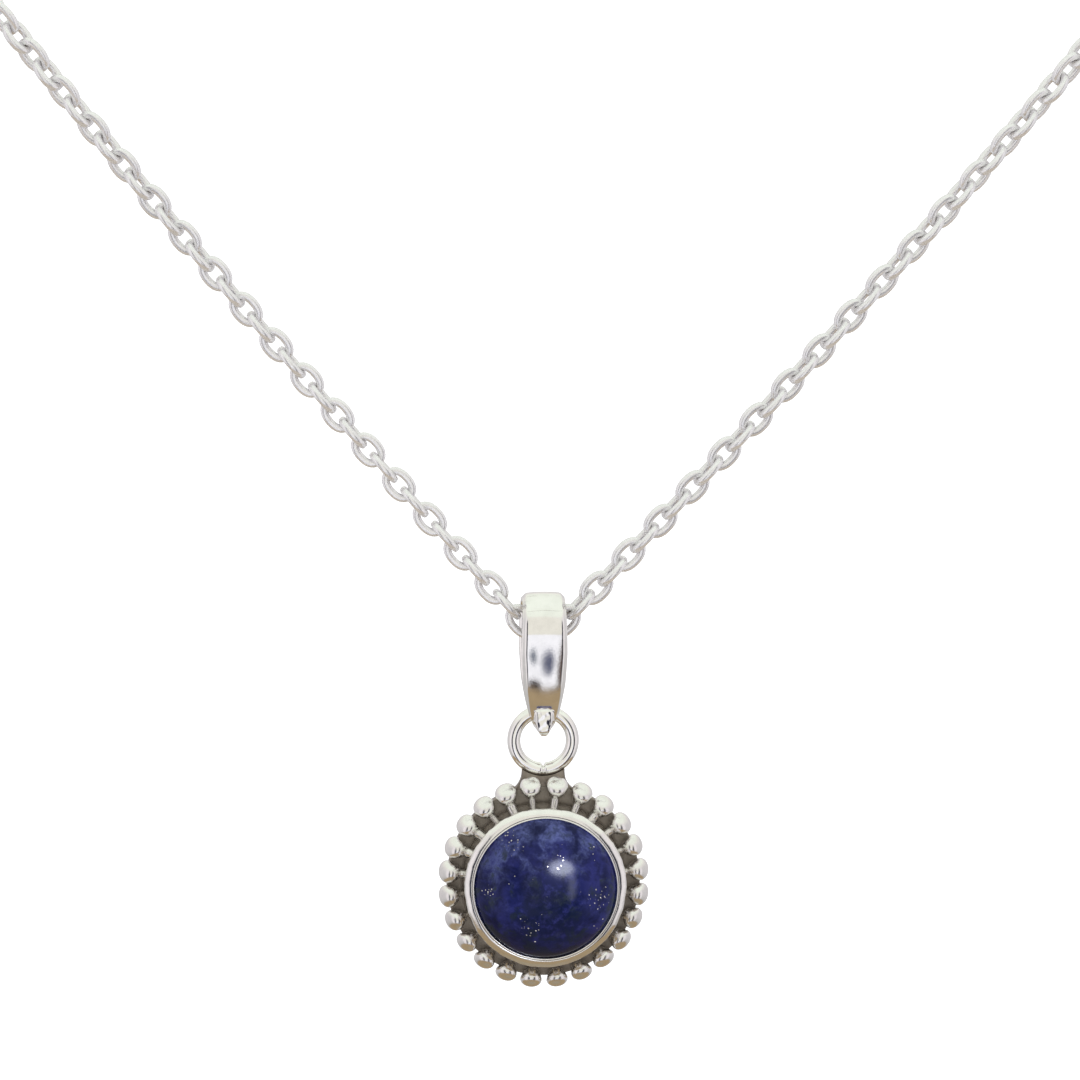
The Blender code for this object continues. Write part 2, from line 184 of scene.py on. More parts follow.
class Nodes:
    """Short way to write the nodes of a material or the world."""

    def __init__(self, name, owner=None):
        self.owner = owner or bpy.data.materials.new(name)
        self.owner.use_nodes = True
        self.tree = self.owner.node_tree
        self.shader = self.tree.nodes.get("Principled BSDF")

    def add(self, kind, inputs=None, **settings):
        node = self.tree.nodes.new(kind)
        for key, value in settings.items():
            setattr(node, key, value)
        for key, value in (inputs or {}).items():
            self.put(node.inputs[key], value)
        return node

    def put(self, socket, value):
        if isinstance(value, bpy.types.NodeSocket):
            self.tree.links.new(value, socket)
        else:
            socket.default_value = value

    def place(self):
        """Position in millimetres."""
        coordinates = self.add("ShaderNodeTexCoord").outputs["Object"]
        mapping = self.add("ShaderNodeMapping", {"Vector": coordinates})
        mapping.inputs["Scale"].default_value = (1.0 / MM, 1.0 / MM, 1.0 / MM)
        return mapping.outputs["Vector"]

    def noise(self, vector, scale, detail=4.0, roughness=0.55, distortion=0.0):
        made = self.add(
            "ShaderNodeTexNoise",
            {"Vector": vector, "Scale": scale, "Detail": detail, "Roughness": roughness},
        )
        made.inputs["Distortion"].default_value = distortion
        return made.outputs["Fac"]

    def ramp(self, value, low, high):
        """0 below low, 1 above high, smooth between."""
        made = self.add("ShaderNodeMapRange", {"Value": value, "From Min": low, "From Max": high})
        made.interpolation_type = "SMOOTHSTEP"
        return made.outputs["Result"]

    def math(self, operation, first, second=0.0):
        made = self.add("ShaderNodeMath", {0: first, 1: second}, operation=operation)
        return made.outputs["Value"]

    def vector(self, operation, first, second=(0.0, 0.0, 0.0)):
        return self.add("ShaderNodeVectorMath", {0: first, 1: second}, operation=operation)

    def mix(self, factor, first, second):
        made = self.add("ShaderNodeMix", data_type="RGBA")
        self.put(made.inputs["Factor"], factor)
        for socket, value in ((made.inputs[6], first), (made.inputs[7], second)):
            self.put(socket, (*value, 1.0) if isinstance(value, tuple) else value)
        return made.outputs[2]

    def bump(self, height, strength, distance=0.00002):
        made = self.add("ShaderNodeBump", {"Height": height, "Strength": strength})
        made.inputs["Distance"].default_value = distance
        self.put(self.shader.inputs["Normal"], made.outputs["Normal"])

    def finish(self, colour, roughness, metallic=1.0):
        self.put(self.shader.inputs["Base Color"], colour)
        self.put(self.shader.inputs["Roughness"], roughness)
        self.put(self.shader.inputs["Metallic"], metallic)
        return self.owner


TARNISH, PALE_TARNISH = (0.27, 0.23, 0.19), (0.37, 0.33, 0.28)
CHAIN_LIGHT, CHAIN_SHADE, CHAIN_END_BROWN = (0.90, 0.89, 0.90), (0.84, 0.83, 0.84), (0.30, 0.24, 0.19)
OXIDE, PALE_OXIDE, RUBBED_BACK = (0.19, 0.16, 0.135), (0.33, 0.29, 0.25), (0.80, 0.78, 0.75)
STEEL, PALE_STEEL = (0.42, 0.43, 0.45), (0.55, 0.56, 0.58)


def silver(name, colour, smooth, rough):
    """Silver with fine polishing marks, tarnished brown where the mesh says it is dark."""
    nodes = Nodes(name)
    place = nodes.place()
    cloud = nodes.noise(place, 1.6, 4.0)
    marks = nodes.noise(place, 9.0, 6.0, 0.7)
    roughness = nodes.add("ShaderNodeMapRange", {"Value": marks, "From Min": 0.3, "From Max": 0.7})
    roughness.inputs["To Min"].default_value = smooth
    roughness.inputs["To Max"].default_value = rough
    tone = nodes.mix(nodes.ramp(cloud, 0.35, 0.7), colour, tuple(c * 0.94 for c in colour))
    tarnish = nodes.add("ShaderNodeAttribute", attribute_name="dark").outputs["Fac"]
    wobble = nodes.math("MULTIPLY", nodes.math("SUBTRACT", cloud, 0.5), 0.5)
    tarnish = nodes.math("MULTIPLY", tarnish, nodes.math("ADD", wobble, 1.0))
    tarnish = nodes.ramp(tarnish, 0.25, 0.80)
    brown = nodes.mix(nodes.ramp(marks, 0.3, 0.7), TARNISH, PALE_TARNISH)
    tone = nodes.mix(tarnish, tone, brown)
    matt = nodes.math("MULTIPLY", tarnish, 0.55)
    nodes.bump(marks, 0.12)
    roughness = nodes.math("MAXIMUM", roughness.outputs["Result"], matt)
    return nodes.finish(tone, roughness, nodes.math("SUBTRACT", 1.0, matt))


def chain_silver():
    """Tumbled wire: satin, so light all round, and browner in patches at the inner ends of each link,
    where the next link passes through.
    """
    nodes = Nodes("chain_silver")
    place = nodes.place()
    marks = nodes.noise(place, 4.0, 4.0, 0.6)
    link_end_mask = nodes.add("ShaderNodeAttribute", attribute_name="link_end_mask").outputs["Fac"]
    tone = nodes.mix(nodes.ramp(marks, 0.30, 0.75), CHAIN_LIGHT, CHAIN_SHADE)
    # Browner in patches at the inner ends of each link, where the next link passes through
    end_brown = nodes.math("MULTIPLY", link_end_mask, nodes.ramp(nodes.noise(place, 0.7, 1.0), 0.42, 0.6))
    tone = nodes.mix(nodes.math("MULTIPLY", end_brown, 0.8), tone, CHAIN_END_BROWN)
    roughness = nodes.math("ADD", nodes.math("MULTIPLY", marks, 0.14), 0.20)
    nodes.bump(marks, 0.03)
    return nodes.finish(tone, roughness, 0.72)


def oxidised_silver():
    """Plate: dark where the beads shelter it, rubbed bright on its back."""
    nodes = Nodes("oxidised_silver")
    place = nodes.place()
    cloud = nodes.noise(place, 1.4, 5.0, 0.6)
    grain = nodes.noise(place, 11.0, 5.0, 0.7)
    tone = nodes.mix(nodes.ramp(cloud, 0.35, 0.65), OXIDE, PALE_OXIDE)
    normal = nodes.add("ShaderNodeTexCoord").outputs["Normal"]
    backwards = nodes.add("ShaderNodeSeparateXYZ", {"Vector": normal}).outputs["Y"]
    tone = nodes.mix(nodes.ramp(backwards, 0.35, 0.75), tone, RUBBED_BACK)
    roughness = nodes.math("ADD", nodes.math("MULTIPLY", grain, 0.25), 0.28)
    nodes.bump(grain, 0.20)
    return nodes.finish(tone, roughness)


def spring_steel():
    """Drawn steel with a fine grain."""
    nodes = Nodes("spring_steel")
    place = nodes.place()
    grain = nodes.noise(place, 9.0, 4.0)
    tone = nodes.mix(grain, STEEL, PALE_STEEL)
    nodes.bump(grain, 0.1)
    return nodes.finish(tone, nodes.math("ADD", nodes.math("MULTIPLY", grain, 0.2), 0.2))


LAPIS_DEEP, LAPIS_BLUE = (0.0028, 0.0040, 0.021), (0.0095, 0.0110, 0.058)
LAPIS_CLOUD, LAPIS_FIBRE = (0.062, 0.074, 0.170), (0.034, 0.040, 0.110)
LAPIS_MOTTLE, LAPIS_GREEN = (0.002, 0.003, 0.016), (0.009, 0.013, 0.013)
LAPIS_FOOT, LAPIS_CORE = (0.0035, 0.0030, 0.0100), (0.002, 0.004, 0.016)
# Pyrite: a dull tone, and a bright tone for painted glints
PYRITE_DULL, PYRITE_PAINTED_GLINT = (0.12, 0.11, 0.10), (0.66, 0.62, 0.55)
# Where pyrite gathers in the stone: x, z, radius, all in millimetres
PYRITE_NESTS = (
    (-2.2, 3.2, 0.85),
    (0.95, 2.75, 0.5),
    (2.85, 2.6, 0.4),
    (3.25, -0.4, 0.95),
    (-3.85, 0.2, 0.5),
    (-1.2, -2.2, 0.8),
    (0.9, 1.9, 0.5),
)
STONE_FRONT_Y = -4.5
DARK_CORE = (0.2, STONE_FRONT_Y, -1.0)


def lapis():
    """Polished lapis with nests of pyrite; its face swells a little, as hand polishing leaves it."""
    nodes = Nodes("lapis")
    place = nodes.place()
    fibre = nodes.noise(place, 2.0, 7.0, 0.70)
    fleck = pyrite(nodes, place)
    # Pyrite colour, with flecks painted bright at random as glints and the rest dull
    painted_glint = nodes.ramp(nodes.noise(place, 5.0, 2.0), 0.35, 0.62)
    pyrite_tone = nodes.mix(painted_glint, PYRITE_DULL, PYRITE_PAINTED_GLINT)
    tone = nodes.mix(fleck, lapis_tone(nodes, place, fibre), pyrite_tone)
    nodes.put(nodes.shader.inputs["Specular IOR Level"], 0.13)
    swell = nodes.math("MULTIPLY", nodes.noise(place, 0.38, 2.0), 9.0)
    relief = nodes.math("ADD", swell, fibre)
    nodes.bump(nodes.math("ADD", relief, fleck), 0.10)
    roughness = nodes.math("ADD", nodes.math("MULTIPLY", fibre, 0.14), 0.10)
    return nodes.finish(tone, roughness, nodes.math("MULTIPLY", fleck, 0.6))


def lapis_tone(nodes, place, fibre):
    """Blue mass with denim clouds, dark mottles, green-black patches and a dark middle and foot."""
    mass = nodes.noise(place, 0.50, 5.0, 0.60, 0.5)
    mottle = nodes.noise(place, 1.6, 5.0, 0.60)
    haze = nodes.noise(place, 0.80, 7.0, 0.62, 0.3)
    patch = nodes.noise(place, 0.80, 5.0, 0.62, 0.4)
    split = nodes.add("ShaderNodeSeparateXYZ", {"Vector": place})
    across, height = split.outputs["X"], split.outputs["Z"]
    tone = nodes.mix(nodes.ramp(mass, 0.36, 0.62), LAPIS_DEEP, LAPIS_BLUE)
    # Clouds gather at the upper left
    lean = nodes.math("SUBTRACT", nodes.math("MULTIPLY", height, 0.038), 0.05)
    lean = nodes.math("SUBTRACT", lean, nodes.math("MULTIPLY", across, 0.010))
    pale = nodes.math("ADD", haze, lean)
    tone = nodes.mix(nodes.ramp(pale, 0.48, 0.80), tone, LAPIS_CLOUD)
    soft = nodes.math("MULTIPLY", nodes.ramp(fibre, 0.48, 0.78), 0.26)
    tone = nodes.mix(soft, tone, LAPIS_FIBRE)
    spots = nodes.math("MULTIPLY", nodes.ramp(mottle, 0.46, 0.62), 0.55)
    tone = nodes.mix(spots, tone, LAPIS_MOTTLE)
    # Green-black patches grow towards the foot, and the stone is darker towards the bottom
    deep = nodes.math("SUBTRACT", patch, nodes.math("MULTIPLY", height, 0.02))
    deep = nodes.math("MULTIPLY", nodes.ramp(deep, 0.51, 0.65), 0.80)
    tone = nodes.mix(deep, tone, LAPIS_GREEN)
    foot = nodes.math("MULTIPLY", nodes.ramp(height, -1.2, -4.6), 0.80)
    tone = nodes.mix(foot, tone, LAPIS_FOOT)
    # The middle is darker where its fibres are sparse
    from_core = nodes.vector("DISTANCE", place, DARK_CORE).outputs["Value"]
    shade = nodes.math("MULTIPLY", nodes.ramp(from_core, 3.9, 0.8), 0.88)
    shade = nodes.math("MULTIPLY", shade, nodes.ramp(fibre, 0.62, 0.44))
    return nodes.mix(shade, tone, LAPIS_CORE)


def pyrite(nodes, place):
    """Mask of small angular flecks, most of them in nests."""
    near = None
    for x, z, radius in PYRITE_NESTS:
        nest = nodes.vector("SUBTRACT", place, (x, STONE_FRONT_Y, z)).outputs[0]
        flat = nodes.vector("MULTIPLY", nest, (1.0, 0.0, 1.0)).outputs[0]
        reach = nodes.vector("LENGTH", flat).outputs["Value"]
        inside = nodes.ramp(reach, radius, radius * 0.55)
        near = inside if near is None else nodes.math("MAXIMUM", near, inside)
    bent = nodes.noise(place, 13.0, 2.0)
    cells = nodes.add("ShaderNodeTexVoronoi", {"Vector": place, "Scale": 5.2, "Randomness": 1.0})
    edge = nodes.math("ADD", cells.outputs["Distance"], nodes.math("MULTIPLY", bent, 0.40))
    chosen = nodes.add("ShaderNodeSeparateColor", {"Color": cells.outputs["Color"]})
    size = nodes.math("MULTIPLY", chosen.outputs["Green"], 0.10)
    grain = nodes.ramp(nodes.math("SUBTRACT", edge, size), 0.40, 0.33)
    wanted = nodes.math("ADD", nodes.math("MULTIPLY", near, 0.66), 0.012)
    keep = nodes.math("LESS_THAN", chosen.outputs["Red"], wanted)
    return nodes.math("MULTIPLY", grain, keep)


# Chain


def link_direction(arm, travelled):
    """Direction of an arm at a distance from the bail, and the level direction square to it."""
    total = LINKS_PER_ARM * PITCH
    front = min(travelled / FRONT_LENGTH, 1.0)
    left_over = 1.0 - max((travelled - FRONT_LENGTH) / (total - FRONT_LENGTH), 0.0)
    low, high = arm["rise"]
    rise = math.radians(low + (high - low) * front + (NAPE_RISE - high) * (1.0 - left_over**2))
    heading = math.pi * (1.0 - left_over ** arm["power"])
    level = Vector((-arm["side"] * math.sin(heading), math.cos(heading), 0.0))
    ahead = Vector((arm["side"] * math.cos(heading), math.sin(heading), 0.0))
    return ahead * math.cos(rise) + UP * math.sin(rise), level


def link_twist(arm, travelled):
    """Turn of an arm about its own length, in degrees."""
    total = LINKS_PER_ARM * PITCH
    half = NAPE_TWIST / 2.0
    if travelled < FRONT_LENGTH:
        share = (travelled / FRONT_LENGTH) ** TWIST_POWER
        return arm["twist"] + (half - arm["twist"]) * share
    return half + half * (travelled - FRONT_LENGTH) / (total - FRONT_LENGTH)


def arm_links(arm, centre):
    """Frame of every link of an arm in order from the bail: X along it, Z normal to its face."""
    wire = centre + Vector((arm["side"] * PIVOT_REACH, 0.0, 0.0))
    joint = wire - link_direction(arm, 0.0)[0] * (PIVOT_REACH - PITCH / 2.0)
    frames = []
    for index in range(LINKS_PER_ARM):
        travelled = (index + 0.5) * PITCH
        along, level = link_direction(arm, travelled)
        turn = link_twist(arm, travelled) + (90.0 if index % 2 else 0.0)
        normal = Matrix.Rotation(arm["side"] * math.radians(turn), 3, along) @ level
        frames.append(frame_of(joint + along * PITCH / 2.0, along, normal))
        joint = joint + along * PITCH
    return frames


def frame_of(origin, x_axis, z_axis):
    """Frame with its Z on z_axis and its X as near x_axis as that allows."""
    z = z_axis.normalized()
    x = (x_axis - z * x_axis.dot(z)).normalized()
    turn = Matrix((x, z.cross(x), z)).transposed().to_4x4()
    return Matrix.Translation(origin) @ turn


def link_shape(stations=36, sides=14):
    """Vertices, and a mask of the inner ends of the wire, of one link lying in its own XY plane."""
    oval = superellipse(stations, LINK_FULLNESS) * (LINK_HALF_LENGTH, LINK_HALF_WIDTH)
    ahead = np.roll(oval, -1, axis=0) - np.roll(oval, 1, axis=0)
    ahead /= np.linalg.norm(ahead, axis=1)[:, None]
    outward = np.stack([ahead[:, 1], -ahead[:, 0]], axis=1)
    section = superellipse(sides, WIRE_SQUARENESS) * (WIRE_HALF_WIDTH, WIRE_HALF_THICKNESS)
    flat = oval[:, None, :] + outward[:, None, :] * section[None, :, :1]
    lift = np.broadcast_to(section[None, :, 1:], (stations, sides, 1))
    points = np.concatenate([flat, lift], axis=2).reshape(-1, 3)
    near_end = smooth_step(np.abs(oval[:, 0]) / LINK_HALF_LENGTH, 0.80, 1.0)
    inner = smooth_step(-section[:, 0] / WIRE_HALF_WIDTH, 0.1, 0.9)
    return points, (near_end[:, None] * inner[None, :]).reshape(-1), grid_faces(stations, sides)


def links_object(name, frames, shape, material, chance):
    """One mesh of whole links, each a shade out of true as on a worn chain."""
    points, link_end_mask, faces = shape
    all_points, all_faces, all_link_end_masks = [], [], []
    for number, frame in enumerate(frames):
        lean = Matrix.Rotation(math.radians(chance.uniform(-LINK_LEAN, LINK_LEAN)), 4, "X")
        sway = Matrix.Rotation(math.radians(chance.uniform(-LINK_SWAY, LINK_SWAY)), 4, "Z")
        turned = np.array(frame @ lean @ sway)
        all_points.append(points @ turned[:3, :3].T + turned[:3, 3])
        all_faces += [tuple(i + number * len(points) for i in face) for face in faces]
        all_link_end_masks.append(link_end_mask)
    obj = new_mesh(
        name, np.concatenate(all_points), all_faces, material, {"link_end_mask": np.concatenate(all_link_end_masks)}
    )
    return facing_out(obj)


def stand_in(obj, body, node):
    """Lets a piece ride a body and stand for a CAD node."""
    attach(obj, body)
    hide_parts(node)


def box_mm(node):
    """Corners of a CAD node's box, in millimetres."""
    low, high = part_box(node)
    return low / MM, high / MM


def middle_mm(node):
    low, high = box_mm(node)
    return (low + high) / 2.0


def build_chain(material):
    """Centre link, then each arm as the single links and runs of the CAD."""
    shape = link_shape()
    chance = random.Random(7)
    centre = middle_mm("chain_centre_link")
    middle = [frame_of(centre, Vector((1.0, 0.0, 0.0)), UP)]
    link = links_object("centre_link", middle, shape, material, chance)
    stand_in(link, "chain_centre", "chain_centre_link")
    for name, arm in ARMS.items():
        frames = arm_links(arm, centre)
        start = 0
        for number, length in enumerate(RUN_LENGTHS, 1):
            for kind, count in (("pivot_link", 1), ("chain_run", length)):
                node = f"{name}_{kind}_{number}"
                some = frames[start : start + count]
                links = links_object(f"{node}_links", some, shape, material, chance)
                stand_in(links, node, node)
                start += count


# Pendant


# Depth of the whole stone over that of its base, how far the dome's edge draws in from the girdle,
# the chamfer round its back and the radius at which both poles are left open
DEPTH_OVER_BASE = 3.07
DOME_INSET = 0.18
STONE_CHAMFER = 0.2
POLE_RADIUS = 0.004


def build_stone(material):
    """High dome on a short chamfered base."""
    low, high = box_mm("stone")
    radius, back, front = (high.x - low.x) / 2.0, high.y, low.y
    girdle = back - (back - front) / DEPTH_OVER_BASE
    turn = np.linspace(0.0, math.pi / 2.0, 72)
    edge = radius - DOME_INSET
    dome = [(edge * math.cos(a), girdle - (girdle - front) * math.sin(a)) for a in turn]
    dome[-1] = (POLE_RADIUS, front)
    base = [(POLE_RADIUS, back), (radius - STONE_CHAMFER, back), (radius, back - STONE_CHAMFER)]
    profile = base + dome
    stone = lathe("lapis_cabochon", profile, 160, material)
    stand_in(stone, "setting", "stone")


# Bezel profile, each point with its tarnish: the lip over the stone, measured from the lip and the
# front, the sloping band and outer wall, from the wall and the front, and the foot, from the wall
# and the back. The last point closes the profile inside, again from the front.
LIP_WIDTH = 0.68
LIP_PROFILE = (
    (0.01, 0.60, 1.0),
    (-0.02, 0.24, 1.0),
    (-0.02, 0.13, 0.9),
    (-0.01, 0.08, 0.0),
    (0.03, 0.01, 0.0),
    (0.08, -0.01, 0.0),
    (0.12, 0.01, 0.0),
    (0.135, 0.05, 1.0),
    (0.165, 0.05, 1.0),
    (0.18, 0.02, 0.0),
    (0.22, 0.02, 0.0),
    (0.40, 0.10, 0.0),
)
BAND_PROFILE = (
    (-0.09, 0.20, 0.0),
    (-0.04, 0.27, 0.0),
    (-0.01, 0.38, 0.0),
    (0.0, 0.60, 0.0),
    (0.0, 1.4, 0.0),
)
FOOT_PROFILE = (
    (0.0, -0.42, 0.0),
    (0.0, -0.25, 0.9),
    (0.03, -0.08, 1.0),
    (0.03, 0.0, 1.0),
    (-0.25, 0.0, 1.0),
)
INNER_POINT = (-0.25, 0.8, 1.0)
FLATS, FLAT_DEPTH, FLAT_TILT = 30, 0.7, 0.012
# Radii between which the flats fade in, clear of the stone
FLATS_FROM, FLATS_FULL = 4.80, 5.10


def hand_faceted(radius, depth, angles):
    """Burnished collar: its outer wall and rim are made of short, uneven flats."""
    chance = random.Random(3)
    edges = np.cumsum([chance.uniform(0.6, 1.4) for _ in range(FLATS)])
    edges = np.concatenate([[0.0], edges / edges[-1] * 2.0 * math.pi])
    flat = np.searchsorted(edges, angles, side="right") - 1
    centre, half = (edges[flat] + edges[flat + 1]) / 2.0, (edges[flat + 1] - edges[flat]) / 2.0
    chord = np.cos(half) / np.cos(angles - centre)
    outer = smooth_step(radius, FLATS_FROM, FLATS_FULL)
    tilt = np.array([chance.uniform(-1.0, 1.0) for _ in range(FLATS)])[flat] * FLAT_TILT
    wave = 0.014 * np.sin(3.0 * angles + 0.6) + 0.010 * np.sin(7.0 * angles)
    shrink = 1.0 - FLAT_DEPTH * outer * (1.0 - chord)
    return radius * shrink + (wave + tilt) * outer, depth + wave


def build_bezel(material):
    """Collar with a bevelled rim turned in over the stone, dark in the cracks it leaves."""
    low, high = box_mm("bezel")
    outer, front, back = (high.x - low.x) / 2.0, low.y, high.y
    parts = (
        (outer - LIP_WIDTH, front, LIP_PROFILE),
        (outer, front, BAND_PROFILE),
        (outer, back, FOOT_PROFILE),
        (outer, front, (INNER_POINT,)),
    )
    profile, dark = [], []
    for from_radius, from_y, points in parts:
        profile += [(from_radius + radius, from_y + y) for radius, y, _ in points]
        dark += [tarnish for _, _, tarnish in points]
    bezel = lathe("bezel_collar", profile, 360, material, hand_faceted, dark)
    stand_in(bezel, "setting", "bezel")


# Beads and the floor between them
BEADS = 24
BEAD_HALF_WIDTH = 0.73
BEAD_CREST, BEAD_TIP_HEIGHT = 0.72, 0.20
NOSE_LENGTH, TAIL_START, TAIL_LENGTH = 0.66, 0.72, 0.66
BEAD_REACH, TALL_BEAD_REACH = 0.10, 0.16
WALL_OVERLAP = 0.10
RIB_HALF_WIDTH = 0.07
FLOOR_LIFT, FLOOR_INSET, FLOOR_MARGIN = 0.03, 0.12, 0.60


def side_of(outward):
    """Direction in the pendant's plane that is square to an outward one."""
    return Vector((0.0, 1.0, 0.0)).cross(outward)


def bead(outward, chance, tip_radius, tail_radius, floor_y):
    """Cast drop on the plate: its outer flank slopes up to a knob, and a web runs on to the bezel."""
    stations, sides = 44, 28
    half_wide = BEAD_HALF_WIDTH * chance.uniform(0.97, 1.03)
    high_side = float(smooth_step(outward.z, -0.35, 0.35))
    web = (0.13 + 0.13 * high_side) * chance.uniform(0.6, 1.3)
    crest = BEAD_CREST * chance.uniform(0.96, 1.04)
    length = tip_radius - tail_radius
    tangent = side_of(outward)
    skew = chance.uniform(-0.06, 0.06)
    points, dark = [], []
    for i in range(stations):
        run = (0.5 - 0.5 * math.cos(math.pi * i / (stations - 1))) * length
        nose = max(1.0 - (1.0 - min(run / NOSE_LENGTH, 1.0)) ** 2.4, 0.0) ** 0.46
        taper = 1.0 - 0.16 * float(smooth_step(run, 0.5, 1.1))
        close = math.sqrt(max(1.0 - (max(run - TAIL_START, 0.0) / TAIL_LENGTH) ** 2, 0.0))
        knob = half_wide * nose * taper * close
        wide = max(math.hypot(knob, web * nose * float(smooth_step(run, 0.9, 1.3))), 0.003)
        climb = float(smooth_step(run, -0.2, 1.0)) - 0.55 * float(smooth_step(run, 0.95, 1.4))
        rise = BEAD_TIP_HEIGHT + (crest - BEAD_TIP_HEIGHT) * climb
        centre = outward * (tip_radius - run) + tangent * skew * run / length
        centre = centre + Vector((0.0, floor_y - rise, 0.0))
        sunk = 0.85 * float(smooth_step(run, 1.22, 1.38)) * (1.0 - 0.85 * high_side)
        for k in range(sides):
            turn = 2.0 * math.pi * k / sides
            lift = wide * math.sin(turn)
            points.append(centre + tangent * wide * math.cos(turn) + FACING * lift)
            low = float(smooth_step(rise + lift, 0.98, 0.48) * smooth_step(run, 0.22, 0.75))
            dark.append(max(low * (1.0 - 0.4 * high_side), sunk))
    return points, dark, capped_tube(stations, sides)


def rib(outward, chance, wall_radius, floor_y):
    """Thin web that climbs the bezel wall from the tail of a bead."""
    stations, sides = 10, 12
    tangent = side_of(outward)
    height = chance.uniform(0.9, 1.5)
    wide = RIB_HALF_WIDTH * chance.uniform(0.6, 1.3)
    points = []
    for i in range(stations):
        share = i / (stations - 1)
        thick = wide * (1.0 - 0.75 * share)
        centre = outward * (wall_radius + thick * 0.15)
        centre = centre + Vector((0.0, floor_y - 0.15 - height * share, 0.0))
        for k in range(sides):
            turn = 2.0 * math.pi * k / sides
            points.append(centre + (tangent * math.cos(turn) + outward * math.sin(turn)) * thick)
    return points, [0.0] * len(points), capped_tube(stations, sides)


def capped_tube(stations, sides):
    """Faces of a tube that is closed at both ends."""
    last = (stations - 1) * sides
    ends = [tuple(range(sides)), tuple(last + k for k in range(sides))]
    return grid_faces(stations, sides, close_rows=False) + ends


def floor_rings(wall, tip, floor_y):
    """Closed profile of the sunk floor under the beads, from inside the bezel wall outwards."""
    inner, outer, base = wall - FLOOR_INSET, tip - FLOOR_MARGIN, floor_y - FLOOR_LIFT
    front = ((inner, base - 0.14), (wall + 0.3, base - 0.05), (outer - 0.06, base - 0.04))
    return ((inner, base), *front, (outer, base - 0.02), (outer, base))


def build_border(material):
    """Bead drops and the sunk floor they stand on, as one casting."""
    low, high = box_mm("beaded_border")
    tip, floor_y = (high.x - low.x) / 2.0 + BEAD_REACH, box_mm("back_plate")[0].y
    wall = box_mm("bezel")[1].x
    chance = random.Random(11)
    points, dark, faces = [], [], []
    for index in range(BEADS):
        turn = 2.0 * math.pi * (index + 0.5) / BEADS
        outward = Vector((math.sin(turn), 0.0, math.cos(turn)))
        bead_tip = tip + TALL_BEAD_REACH * outward.z**2
        drop = bead(outward, chance, bead_tip, wall - WALL_OVERLAP, floor_y)
        for part_points, part_dark, part_faces in (drop, rib(outward, chance, wall, floor_y)):
            faces += [tuple(i + len(points) for i in face) for face in part_faces]
            points += part_points
            dark += part_dark
    steps = 192
    rings = floor_rings(wall, tip, floor_y)
    faces += grid_faces(len(rings), steps, start=len(points))
    for radius, y in rings:
        for angle in np.linspace(0.0, 2.0 * math.pi, steps, endpoint=False):
            points.append((radius * math.cos(angle), y, radius * math.sin(angle)))
        dark += [1.0] * steps
    border = new_mesh("beaded_border_cast", points, faces, material, {"dark": dark})
    stand_in(facing_out(border), "setting", "beaded_border")


# Back plate: the disc, and the tab that flares out of it up to the ring
PLATE_RADIUS = 6.3
TAB_HALF_TOP, TAB_FOOT = 1.38, 2.4
TAB_STEPS = 10
TAB_LEAN, TAB_RISE = 0.05, 0.35
PLATE_SEAT_GAP, PLATE_BEVEL = 0.03, 0.09


def plate_outline(radius, ring_z, seat_radius):
    """Disc with a tab that flares out of it in two hollow curves, hollowed again to seat the ring."""
    seat_angle = math.acos(TAB_HALF_TOP / seat_radius)
    foot_angle = math.acos(TAB_FOOT / radius)
    disc = np.linspace(math.pi - foot_angle, 2.0 * math.pi + foot_angle, 120)
    points = [(radius * math.cos(a), radius * math.sin(a)) for a in disc]
    start = points[-1]
    bend = (TAB_HALF_TOP - TAB_LEAN, start[1] + TAB_RISE)
    corner = (TAB_HALF_TOP, ring_z - seat_radius * math.sin(seat_angle))
    flare = [hollow_curve(start, bend, corner, i / TAB_STEPS) for i in range(1, TAB_STEPS)]
    seat = np.linspace(-seat_angle, -math.pi + seat_angle, 24)
    points += flare
    points += [(seat_radius * math.cos(a), ring_z + seat_radius * math.sin(a)) for a in seat]
    return points + [(-x, z) for x, z in reversed(flare)]


def hollow_curve(start, bend, end, t):
    """Point of the parabola from start to end that leans on the bend."""
    return tuple(
        a * (1 - t) ** 2 + 2 * t * (1 - t) * b + c * t * t for a, b, c in zip(start, bend, end)
    )


def build_plate(material):
    """Outline of the plate given its thickness, with softened edges."""
    low, high = box_mm("back_plate")
    ring = middle_mm("pendant_ring")
    seat = (box_mm("pendant_ring")[1].x - ring.x) + PLATE_SEAT_GAP
    outline = plate_outline(PLATE_RADIUS, ring.z, seat)
    count = len(outline)
    front = [(x, low.y, z) for x, z in outline]
    back = [(x, high.y, z) for x, z in outline]
    faces = [tuple(range(count)), tuple(count + i for i in range(count))]
    faces += [(i, (i + 1) % count, count + (i + 1) % count, count + i) for i in range(count)]
    plate = facing_out(new_mesh("plate", front + back, faces, material))
    bevel = plate.modifiers.new("soft_edge", "BEVEL")
    bevel.width, bevel.segments, bevel.limit_method = PLATE_BEVEL * MM, 3, "ANGLE"
    stand_in(plate, "setting", "back_plate")


# Pendant ring: wire and radius beyond the CAD's, and the solder joint at its foot
RING_WIRE_EXTRA, RING_RADIUS_EXTRA = 0.05, 0.07
SOLDER_PINCH, SOLDER_PINCH_WIDTH = 0.30, 0.055
SOLDER_SWELL, SOLDER_SWELL_WIDTH = 0.06, 0.25


